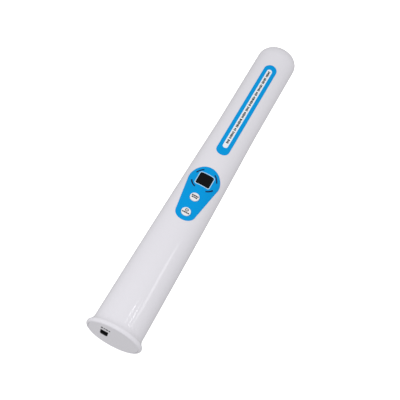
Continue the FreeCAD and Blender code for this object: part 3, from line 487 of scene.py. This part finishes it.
def plastic(name, colour, roughness, grain=900.0, depth=4e-6, spread=0.03, coat=0.0, shine=0.5):
    """Moulded plastic with a fine grain and slow, faint changes of colour."""
    look = Look(name)
    look.colours(look.noise(38.0, 3.0), shaded(colour, 1 - spread), shaded(colour, 1 + spread))
    look.between(look.noise(160.0, 3.0), roughness * 0.88, roughness * 1.12, "Roughness")
    look.bumps(look.noise(grain, 2.0), depth)
    look.set(coat_weight=coat, coat_roughness=0.04, specular_ior_level=shine)
    return look.material


def metal(name, colour, roughness, stretch=(1.0, 18.0, 1.0)):
    """Metal with fine lines along its rolling or drawing direction."""
    look = Look(name)
    look.colours(look.noise(60.0, 3.0), shaded(colour, 0.92), shaded(colour, 1.05))
    look.between(look.noise(420.0, 3.0, stretch), roughness * 0.8, roughness * 1.3, "Roughness")
    look.bumps(look.noise(700.0, 2.0, stretch), 3e-6)
    look.set(metallic=1.0)
    return look.material


def rubber(name, colour):
    """Matt rubber."""
    look = Look(name)
    look.colours(look.noise(90.0, 4.0), shaded(colour, 0.85), shaded(colour, 1.2))
    look.between(look.noise(300.0, 2.0), 0.55, 0.72, "Roughness")
    look.bumps(look.noise(1400.0, 2.0), 8e-6)
    return look.material


def laminate(name, colour):
    """A circuit board's solder mask over a faint glass weave."""
    look = Look(name)
    look.colours(look.noise(220.0, 4.0), shaded(colour, 0.8), shaded(colour, 1.25))
    look.between(look.noise(120.0, 2.0), 0.28, 0.42, "Roughness")
    look.bumps(look.noise(1100.0, 1.0, (1.0, 0.3, 1.0)), 5e-6)
    return look.material


def winding(name, colour):
    """Enamelled wire, wound in turns across the stick's length, with painted shade: darker in the grooves
    between the turns and lighter on their crests.
    """
    look = Look(name)
    wave = look.tree.nodes.new("ShaderNodeTexWave")
    wave.bands_direction = "Y"
    wave.inputs["Scale"].default_value = 900.0
    wave.inputs["Distortion"].default_value = 0.4
    look.tree.links.new(look.coordinates, wave.inputs["Vector"])
    # Painted shade: the colour follows the wave, darker in the grooves between the turns and lighter on their
    # crests.
    look.colours(wave.outputs["Fac"], shaded(colour, 0.55), shaded(colour, 1.15))
    look.between(look.noise(200.0), 0.25, 0.4, "Roughness")
    look.bumps(wave.outputs["Fac"], 6e-5)
    look.set(metallic=1.0)
    return look.material


def glass(name, colour, alpha):
    """Smooth tinted glass."""
    look = Look(name)
    look.colours(look.noise(60.0), shaded(colour, 0.9), shaded(colour, 1.1))
    look.between(look.noise(150.0), 0.04, 0.08, "Roughness")
    look.set(alpha=alpha, coat_weight=0.6)
    return look.material


# Each plastic has a colour and a roughness, then the grain's scale and its height in metres, how much the
# colour varies, the weight of a clear coat, and the shine under it.
LOOKS = {
    "white_shell": plastic("glossy_white_shell", (0.785, 0.77, 0.82), 0.36, 420.0, 7e-7, 0.0025, 1.0, 0.15),
    "blue_film": plastic("blue_printed_film", (0.0, 0.324, 0.756), 0.45, 1500.0, 3e-6, 0.03, 0.0, 0.06),
    "dark_lens": plastic("dark_lens", (0.001, 0.001, 0.0015), 0.12, 300.0, 1e-6, 0.1, 0.0, 0.12),
    "key_plastic": plastic("white_key_plastic", (0.84, 0.83, 0.85), 0.30, 800.0, 3e-6, 0.01, 0.2),
    "seal_rubber": rubber("black_rubber", (0.03, 0.03, 0.032)),
    "steel": metal("plated_steel", (0.56, 0.56, 0.57), 0.28),
    "contact_brass": metal("plated_contacts", (0.86, 0.66, 0.32), 0.22),
    "black_plastic": plastic("black_moulding", (0.012, 0.012, 0.014), 0.42, 900.0, 6e-6, 0.15),
    "tray_plastic": plastic("grey_tray_plastic", (0.42, 0.43, 0.45), 0.48, 900.0, 8e-6, 0.05),
    "connector_plastic": plastic("cream_connector", (0.78, 0.74, 0.62), 0.40, 900.0, 5e-6, 0.04),
    "board_laminate": laminate("green_board", (0.012, 0.16, 0.05)),
    "display_glass": glass("display_glass", (0.02, 0.03, 0.035), 0.85),
    "flex_film": plastic("amber_flex", (0.55, 0.24, 0.03), 0.30, 900.0, 3e-6, 0.08),
    "ferrite": plastic("dark_ferrite", (0.05, 0.05, 0.055), 0.62, 500.0, 1.5e-5, 0.2),
    "coil_copper": winding("copper_winding", (0.72, 0.30, 0.14)),
    "cell_can": plastic("cell_sleeve", (0.05, 0.16, 0.42), 0.26, 700.0, 3e-6, 0.05, 0.3),
    "red_wire": plastic("red_insulation", (0.45, 0.012, 0.012), 0.42, 1200.0, 5e-6, 0.08),
    "black_wire": plastic("black_insulation", (0.012, 0.012, 0.012), 0.42, 1200.0, 5e-6, 0.15),
    "grey_wire": plastic("grey_jacket", (0.24, 0.24, 0.26), 0.48, 1200.0, 5e-6, 0.08),
}
PRINT_NAVY = plastic("navy_ink", (0.002, 0.012, 0.07), 0.42, 1500.0, 3e-6, 0.08, 0.0, 0.15)
PRINT_WHITE = plastic("white_ink", (0.86, 0.88, 0.91), 0.38, 1500.0, 3e-6, 0.01)
PRINT_PALE = plastic("pale_blue_ink", (0.50, 0.74, 0.92), 0.38, 1500.0, 3e-6, 0.02)
PRINT_DARK = plastic("dark_ink", (0.012, 0.012, 0.016), 0.42, 1500.0, 3e-6, 0.1, 0.0, 0.15)


def dress_cad_nodes():
    """Gives every node that is carried over its slot's material."""
    for subpart in frame["record"]["subparts"]:
        item = frame["nodes"][subpart["node"]]
        item.data.materials.clear()
        item.data.materials.append(LOOKS[subpart["material_slot"]])


# Housing ---------------------------------------------------------------------------------------

def tube_path():
    """The housing's section as rings (half width, along, ratio), from the cavity's tip to the outer tip.

    Also says how many of them are the cavity's, and how many come before the outside.
    """
    inner = [(*point, CAVITY_RATIO) for point in reversed(side_above_neck(WALL))]
    bore_width = NECK_HALF_WIDTH - WALL
    bore = [(bore_width, REBATE[1] + BORE_CHAMFER, CAVITY_RATIO),
            (bore_width + BORE_CHAMFER, REBATE[1], CAVITY_RATIO)]
    rebate = [(REBATE[0] - REBATE_CHAMFER, REBATE[1], SECTION_RATIO),
              (REBATE[0], REBATE[1] - REBATE_CHAMFER, SECTION_RATIO),
              (REBATE[0], MOUTH_CHAMFER, SECTION_RATIO), (REBATE[0] + MOUTH_CHAMFER, 0.0, SECTION_RATIO)]
    outer = [(*point, SECTION_RATIO) for point in rim_and_flare() + side_above_neck(0.0)[1:]]
    before_outer = inner + bore + rebate
    return before_outer + outer, len(inner), len(before_outer)


def add_rings(maker, path):
    """Adds the path's rings of points and returns their numbers. A ring on the axis is a single point."""
    turns = [2 * math.pi * step / SEGMENTS for step in range(SEGMENTS)]
    rings = []
    for width, along, ratio in path:
        first = len(maker.points)
        if width < TINY:
            maker.points.append((0.0, along, 0.0))
            rings.append([first] * SEGMENTS)
        else:
            lowest = land_up(along)
            maker.points += [(width * math.sin(turn), along, max(ratio * width * math.cos(turn), lowest))
                             for turn in turns]
            rings.append(list(range(first, first + SEGMENTS)))
    return rings


class Patch:
    """A stretch of rings whose faces on the label side are left out, to be filled round the recesses."""

    def __init__(self, maker, path, rings, first, last, stretch):
        self.maker = maker
        self.reach = round(SEGMENTS * PATCH_REACH / 360)
        numbers = [number for number in range(first, last) if stretch[0] < path[number][1] < stretch[1]]
        self.first, self.last = numbers[0], numbers[-1]
        self.rings = [rings[number] for number in sorted(numbers, key=lambda number: path[number][1])]

    def holds(self, number, step):
        """Whether the face after this ring and step is one of those left out."""
        between = self.first <= number < self.last
        return between and (step < self.reach or step >= SEGMENTS - self.reach)

    def border(self):
        """The loop of ring points round the patch."""
        columns = [step % SEGMENTS for step in range(-self.reach, self.reach + 1)]
        low, high = self.rings[0], self.rings[-1]
        right = [ring[self.reach] for ring in self.rings[1:-1]]
        left = [ring[-self.reach] for ring in reversed(self.rings[1:-1])]
        there = [low[step] for step in columns]
        back = [high[step] for step in reversed(columns)]
        return there + right + back + left

    def fill(self, holes, normal=None):
        """Fills the patch round its holes, with the ring points that keep clear of every edge."""
        loops = [self.border(), *holes]
        columns = [step % SEGMENTS for step in range(-self.reach + 1, self.reach)]
        numbers = [ring[step] for ring in self.rings[1:-1] for step in columns]
        spare = {self.maker.points[number][:2]: number for number in numbers}
        outlines = [self.maker.flat_loop(loop) for loop in loops]
        inner = [spare[point] for point in clear_points(outlines, list(spare), PATCH_ROOM)]
        self.maker.fill(loops, inner, normal)


def make_housing():
    """The outer surface, the cavity, the recesses for the films and the lens, and the key holes."""
    maker = Maker()
    path, inner_count, outer_start = tube_path()
    rings = add_rings(maker, path)
    outer_patch = Patch(maker, path, rings, outer_start, len(path), OUTER_PATCH)
    inner_patch = Patch(maker, path, rings, 0, inner_count, INNER_PATCH)
    # The side's own normals are used up to one ring short of the shoulder.
    smooth_end = path[-(SHOULDER_STEPS + CAP_STEPS + 2)][1]
    for number in range(len(rings) - 1):
        ring, following = rings[number], rings[number + 1]
        middle = (path[number][1] + path[number + 1][1]) / 2
        smooth = number > outer_start and SIDE_ALONGS[0] < middle < smooth_end
        for step in range(SEGMENTS):
            if outer_patch.holds(number, step) or inner_patch.holds(number, step):
                continue
            ahead = (step + 1) % SEGMENTS
            if smooth:
                maker.smooth[len(maker.faces)] = skin_normal
            corners = [ring[step], ring[ahead], following[ahead], following[step]]
            maker.faces.append(tuple(dict.fromkeys(corners)))

    surface, lip, seat = skin(0.0), skin(EDGE_DROP), skin(SEAT_DEPTH)
    cavity = skin(WALL, CAVITY_RATIO)
    strip = strip_outline(STRIP_HALF_WIDTH + SEAT_GAP, STRIP_START - SEAT_GAP, STRIP_END + SEAT_GAP)
    window = window_outline(SEAT_GAP)
    sight = rounded_box((0.0, WINDOW_CENTRE), SIGHT_HALF, SIGHT_CORNER)
    key_holes = key_hole_outlines()

    recess_edges = []
    floors = []
    for outline in (panel_outline(SEAT_GAP), strip):
        edge = maker.loop(grown(outline, SOFT_EDGE), surface)
        shoulder = maker.loop(outline, lip)
        floor = maker.loop(outline, seat)
        maker.wall(edge, shoulder)
        maker.wall(shoulder, floor)
        recess_edges.append(edge)
        floors.append(floor)
    outer_patch.fill(recess_edges, skin_normal)

    window_top = maker.loop(window, seat)
    window_floor = maker.loop(window, flat(LENS_SEAT_UP))
    sight_top = maker.loop(sight, flat(LENS_SEAT_UP))
    sight_bottom = maker.loop(sight, cavity)
    key_tops = [maker.loop(hole, seat) for hole in key_holes]
    key_bottoms = [maker.loop(hole, cavity) for hole in key_holes]
    openings = [(window_top, window_floor), (sight_top, sight_bottom), *zip(key_tops, key_bottoms)]
    for upper, lower in openings:
        maker.wall(upper, lower)
    maker.cover([floors[0], window_top, *key_tops], seat, FLOOR_SPACING)
    maker.cover([floors[1]], seat, FLOOR_SPACING)
    maker.cover([window_floor, sight_top], flat(LENS_SEAT_UP), FLOOR_SPACING)
    inner_patch.fill([sight_bottom, *key_bottoms])
    maker.finish("housing_shell", LOOKS["white_shell"], replaces=["housing_tube"])


# Films, prints and lens ------------------------------------------------------------------------

# Prints, in millimetres. Ink lies between two heights over the surface under it, with a soft edge. An arc has
# a radius and two angles in degrees, the slot a half width and its two ends, and the marks two ends.
INK_HEIGHTS = (0.004, 0.03)
SECOND_INK_HEIGHTS = (0.033, 0.055)
BASE_INK_HEIGHTS = (0.003, 0.03)
INK_EDGE = 0.02
INK_DROP = 0.01
WINDOW_BORDER_HALF = (9.45, 9.2)
WINDOW_BORDER_CORNER = 2.6
WINDOW_BORDER_GAP = 0.1
ARC_WIDTH = 1.7
ARCS = [(14.1, 19.0, 60.5), (14.1, 117.5, 157.0), (14.7, 203.5, 245.0), (14.9, 298.5, 336.0)]
SLOT = (3.2, 266.2, 401.0)
MARKS_ALONG = (273.5, 398.0)
MARK_GROUPS = (3, 6, 2, 7, 5, 4, 8, 3, 6, 5, 7, 4, 6)
MARK_LENGTHS = (1.8, 1.3, 2.0, 1.2, 1.6)
MARK_HALF_HEIGHTS = (1.5, 1.1, 1.5)
MARK_GAP = 0.45
GROUP_GAP = 1.5
MARK_CORNER = 0.2
MARK_SPACING = 0.7
SOCKET_MARKS_UP = 9.8
SOCKET_MARKS_ACROSS = SOCKET_ACROSS + 0.6
SOCKET_MARK_HALF_HEIGHT = 1.25
SOCKET_MARK_WIDTHS = (2.4, 1.5, 2.8, 1.7)
SOCKET_MARK_GAP = 0.8


def make_films():
    panel = Maker()
    panel_holes = [window_outline(SEAT_GAP), *key_hole_outlines()]
    panel.slab(panel_outline(), panel_holes, skin(0.0), skin(FILM_DEPTH), normal=skin_normal)
    panel.finish("panel_film", LOOKS["blue_film"], replaces=["keypad_overlay"])
    strip = Maker()
    strip_edge = strip_outline(STRIP_HALF_WIDTH, STRIP_START, STRIP_END)
    strip.slab(strip_edge, [], skin(0.0), skin(FILM_DEPTH), normal=skin_normal)
    strip.finish("strip_film", LOOKS["blue_film"], replaces=["label_strip"])


def make_lens():
    lens = Maker()
    lens.slab(window_outline(), [], skin(0.0), flat(LENS_BACK_UP), LENS_EDGE, LENS_DROP, 1.5, skin_normal)
    lens.finish("window_lens", LOOKS["dark_lens"], replaces=["display_window"])


def add_ink(maker, shapes, surface, heights, spacing=1.5, normal=None):
    """Adds thin ink shapes, each an outline with its holes, between two heights over a surface."""
    bottom, top = surface(heights[0]), surface(heights[1])
    for outer, holes in shapes:
        maker.slab(outer, holes, top, bottom, INK_EDGE, INK_DROP, spacing, normal)


def over_skin(lift):
    """A function that gives the height of the label face, raised by a lift."""
    return skin(-lift)


def printed(name, shapes, material):
    """Ink shapes on the label face."""
    ink = Maker()
    add_ink(ink, shapes, over_skin, INK_HEIGHTS, normal=skin_normal)
    ink.finish(name, material)


def arc_stroke(centre, radius, start, end, width, count=14):
    """A stroke round part of a circle, with its ends cut square; angles in degrees from across."""
    turns = [math.radians(start + (end - start) * step / count) for step in range(count + 1)]
    outer, inner = radius + width / 2, radius - width / 2
    outside = [(centre[0] + outer * math.cos(turn), centre[1] + outer * math.sin(turn)) for turn in turns]
    inside = [(centre[0] + inner * math.cos(turn), centre[1] + inner * math.sin(turn)) for turn in turns]
    return evenly(outside + inside[::-1], 0.8)


def bar(across, along, half_across, half_along):
    """One plain block with rounded corners."""
    return rounded_box((across, along), (half_across, half_along), MARK_CORNER, MARK_SPACING), []


def bars(centre_along, half_height, widths, gap, across=0.0):
    """A row of short bars side by side."""
    left = across - (sum(widths) + gap * (len(widths) - 1)) / 2
    shapes = []
    for width in widths:
        shapes.append(bar(left + width / 2, centre_along, width / 2, half_height))
        left += width + gap
    return shapes


def row_of_marks(start, end):
    """Plain blocks along the strip, in groups, that say nothing."""
    shapes = []
    along = start
    number = 0
    for group_size in MARK_GROUPS:
        for _ in range(group_size):
            length = MARK_LENGTHS[number % len(MARK_LENGTHS)]
            half = MARK_HALF_HEIGHTS[number % len(MARK_HALF_HEIGHTS)]
            if along + length > end:
                return shapes
            shapes.append(bar(0.0, along + length / 2, half, length / 2))
            along += length + MARK_GAP
            number += 1
        along += GROUP_GAP
    return shapes


def make_prints():
    centre = (0.0, WINDOW_CENTRE)
    border = rounded_box(centre, WINDOW_BORDER_HALF, WINDOW_BORDER_CORNER)
    printed("window_border", [(border, [grown(window_outline(SEAT_GAP), WINDOW_BORDER_GAP)])], PRINT_PALE)
    arcs = [arc_stroke(centre, radius, start, end, ARC_WIDTH) for radius, start, end in ARCS]
    printed("panel_arcs", [(stroke, []) for stroke in arcs], PRINT_NAVY)
    printed("strip_slot", [(strip_outline(*SLOT), [])], PRINT_WHITE)
    marks = Maker()
    add_ink(marks, row_of_marks(*MARKS_ALONG), over_skin, SECOND_INK_HEIGHTS)
    marks.finish("strip_marks", PRINT_DARK)
    base = Maker(place_on_base)
    socket_marks = bars(SOCKET_MARKS_UP, SOCKET_MARK_HALF_HEIGHT, SOCKET_MARK_WIDTHS, SOCKET_MARK_GAP,
                        SOCKET_MARKS_ACROSS)
    add_ink(base, socket_marks, flat, BASE_INK_HEIGHTS)
    base.finish("socket_marks", PRINT_DARK)


# Keys ------------------------------------------------------------------------------------------

# Lines of marks on the keys: how far from the key's middle, half their height, and the bars' widths.
UPPER_KEY_LINES = [(1.3, 0.85, (1.7, 2.4, 1.4, 1.6)), (-1.0, 0.75, (2.2, 1.5, 2.6))]
LOWER_KEY_LINE = (-1.5, 0.8, (1.4, 2.5, 1.8, 1.7))
KEY_MARK_GAP = 0.3
RING_OFFSET = 1.9
RING_RADIUS = 2.0
RING_HOLE_RADIUS = 1.05


def key_profile(bottom):
    """A push key's section from the foot of its stem round to the middle of its crown."""
    shoulder = (KEY_RADIUS, KEY_EDGE - KEY_ROUNDING)
    edge = (KEY_RADIUS - KEY_ROUNDING, KEY_EDGE)
    return [(0.0, bottom), (KEY_STEM_RADIUS, bottom), (KEY_STEM_RADIUS, KEY_HOLLOW[1]), KEY_HOLLOW,
            (KEY_HOLLOW[0], KEY_FLANGE[0]), (KEY_FLANGE_RADIUS, KEY_FLANGE[0]),
            (KEY_FLANGE_RADIUS, KEY_FLANGE[1]), (KEY_RADIUS, KEY_FLANGE[1]), shoulder,
            *arc(shoulder, edge, KEY_ROUNDING, 1, 6), *arc(edge, (0.0, KEY_CROWN), KEY_CROWN_RADIUS, 1, 12)]


def make_key(node, body, along, marks, count=96):
    """A white push key and its printed marks, which both ride on the key's own body."""
    low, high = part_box(node)
    level_up = (high.z - AXIS_Z) / MM - KEY_CROWN
    key = Maker()
    rows = []
    for radius, height in key_profile((low.z - AXIS_Z) / MM - level_up):
        first = len(key.points)
        if radius < TINY:
            key.points.append((0.0, along, level_up + height))
            rows.append([first] * count)
        else:
            key.points += [(*point, level_up + height) for point in circle(0.0, along, radius, count)]
            rows.append(list(range(first, first + count)))
    for lower, upper in zip(rows, rows[1:]):
        for step in range(count):
            ahead = (step + 1) % count
            corners = [lower[step], lower[ahead], upper[ahead], upper[step]]
            key.faces.append(tuple(dict.fromkeys(corners)))
    key.finish(f"{body}_cap", LOOKS["key_plastic"], body, [node])

    def crown(lift):
        """The key's crowned top, raised by a lift."""
        def up(across, at):
            out = math.hypot(across, at - along)
            sunk = KEY_CROWN_RADIUS - math.sqrt(KEY_CROWN_RADIUS ** 2 - out ** 2)
            return level_up + KEY_CROWN - sunk + lift
        return up

    ink = Maker()
    add_ink(ink, marks, crown, INK_HEIGHTS, 1.0)
    ink.finish(f"{body}_marks", PRINT_DARK, body)


def make_keys():
    two_lines = []
    for offset, half_height, widths in UPPER_KEY_LINES:
        two_lines += bars(UPPER_KEY_ALONG + offset, half_height, widths, KEY_MARK_GAP)
    make_key("upper_key", "upper_button", UPPER_KEY_ALONG, two_lines)
    ring_centre = LOWER_KEY_ALONG + RING_OFFSET
    ring_hole = circle(0.0, ring_centre, RING_HOLE_RADIUS, 32)
    ring_and_line = [(circle(0.0, ring_centre, RING_RADIUS, 40), [ring_hole])]
    offset, half_height, widths = LOWER_KEY_LINE
    ring_and_line += bars(LOWER_KEY_ALONG + offset, half_height, widths, KEY_MARK_GAP)
    make_key("lower_key", "lower_button", LOWER_KEY_ALONG, ring_and_line)


# Stage, light and camera -----------------------------------------------------------------------

# Places and sizes here are in metres, except the lens and its sensor, in millimetres.
VIEW_TARGET = Vector((0.00516, -0.02643, AXIS_Z))
VIEW_DISTANCE = 1.2120
VIEW_AZIMUTH = math.radians(8.12)
VIEW_ELEVATION = math.radians(57.72)
VIEW_ROLL = math.radians(21.02)
LENS_LENGTH = 96.2
SENSOR_WIDTH = 36.0
FLOOR_HALF_SIZE = 6.0

# The world is brightest towards one side, and each softbox has a place, a target, a size and a power.
# The fill isn't mirrored in the shell. The band and the lamps are, as the long and the two short streaks.
WORLD_BRIGHT_SIDE = Vector((0.16, -0.40, 0.90))
WORLD_BELOW = 0.45
WORLD_ABOVE = 0.856
FILL = ((-0.3, -0.3, 0.6), (0, -0.15, 0), (0.5, 0.7), 1.2)
BAND = ((0.60, 0.43, 1.0), (0, -0.1, 0), (0.24, 0.14), 0.22)
LAMPS = [((0.170, 0.321, 1.111), (0, -0.2, 0), (0.055, 0.05), 0.045),
         ((0.415, 0.319, 1.050), (0, -0.2, 0), (0.055, 0.05), 0.042)]


def make_camera():
    """A long lens that looks down on the label face from the base end."""
    camera = bpy.data.objects.new("camera", bpy.data.cameras.new("camera"))
    bpy.context.scene.collection.objects.link(camera)
    away = Vector((math.sin(VIEW_AZIMUTH) * math.cos(VIEW_ELEVATION),
                   -math.cos(VIEW_AZIMUTH) * math.cos(VIEW_ELEVATION), math.sin(VIEW_ELEVATION)))
    camera.location = VIEW_TARGET + away * VIEW_DISTANCE
    camera.rotation_mode = "QUATERNION"
    camera.rotation_quaternion = away.to_track_quat("Z", "Y") @ Quaternion((0, 0, 1), VIEW_ROLL)
    camera.data.lens = LENS_LENGTH
    camera.data.sensor_width = SENSOR_WIDTH
    bpy.context.scene.camera = camera


def make_floor():
    """A pale, faintly glowing floor that doesn't show in reflections."""
    mesh = bpy.data.meshes.new("floor")
    side = FLOOR_HALF_SIZE
    corners = [(-side, -side, 0), (side, -side, 0), (side, side, 0), (-side, side, 0)]
    mesh.from_pydata(corners, [], [(0, 1, 2, 3)])
    floor = bpy.data.objects.new("floor", mesh)
    bpy.context.scene.collection.objects.link(floor)
    look = Look("pale_floor")
    look.colours(look.noise(2.0), (0.80, 0.80, 0.80), (0.82, 0.82, 0.82))
    look.set(roughness=0.9)
    look.shader.inputs["Emission Color"].default_value = (1.0, 1.0, 1.0, 1.0)
    look.shader.inputs["Emission Strength"].default_value = 0.75
    mesh.materials.append(look.material)
    floor.visible_glossy = False
    floor.visible_diffuse = False


def softbox(name, location, target, size, power, mirrored=True):
    """A rectangular light that the camera doesn't see."""
    light = bpy.data.lights.new(name, "AREA")
    light.shape = "RECTANGLE"
    light.size, light.size_y = size
    light.energy = power
    item = bpy.data.objects.new(name, light)
    item.visible_glossy = mirrored
    item.visible_camera = False
    item.location = location
    item.rotation_mode = "QUATERNION"
    item.rotation_quaternion = (Vector(location) - Vector(target)).to_track_quat("Z", "Y")
    bpy.context.scene.collection.objects.link(item)


def make_light():
    """A white studio that is brighter towards one side, and its softboxes."""
    scene = bpy.context.scene
    scene.view_settings.view_transform = "Standard"
    world = bpy.data.worlds.new("studio")
    scene.world = world
    world.use_nodes = True
    nodes, links = world.node_tree.nodes, world.node_tree.links
    towards = nodes.new("ShaderNodeVectorMath")
    towards.operation = "DOT_PRODUCT"
    towards.inputs[1].default_value = WORLD_BRIGHT_SIDE
    links.new(nodes.new("ShaderNodeTexCoord").outputs["Generated"], towards.inputs[0])
    span = nodes.new("ShaderNodeMapRange")
    span.inputs["From Min"].default_value = -1.0
    span.inputs["To Min"].default_value = WORLD_BELOW
    span.inputs["To Max"].default_value = WORLD_ABOVE
    links.new(towards.outputs["Value"], span.inputs["Value"])
    links.new(span.outputs["Result"], nodes["Background"].inputs["Strength"])
    nodes["Background"].inputs["Color"].default_value = (1.0, 1.0, 1.0, 1.0)
    softbox("fill", *FILL, mirrored=False)
    softbox("band", *BAND)
    for number, lamp in enumerate(LAMPS):
        softbox(f"lamp_{number}", *lamp)


dress_cad_nodes()
make_housing()
make_films()
make_lens()
make_prints()
make_keys()
make_camera()
make_floor()
make_light()
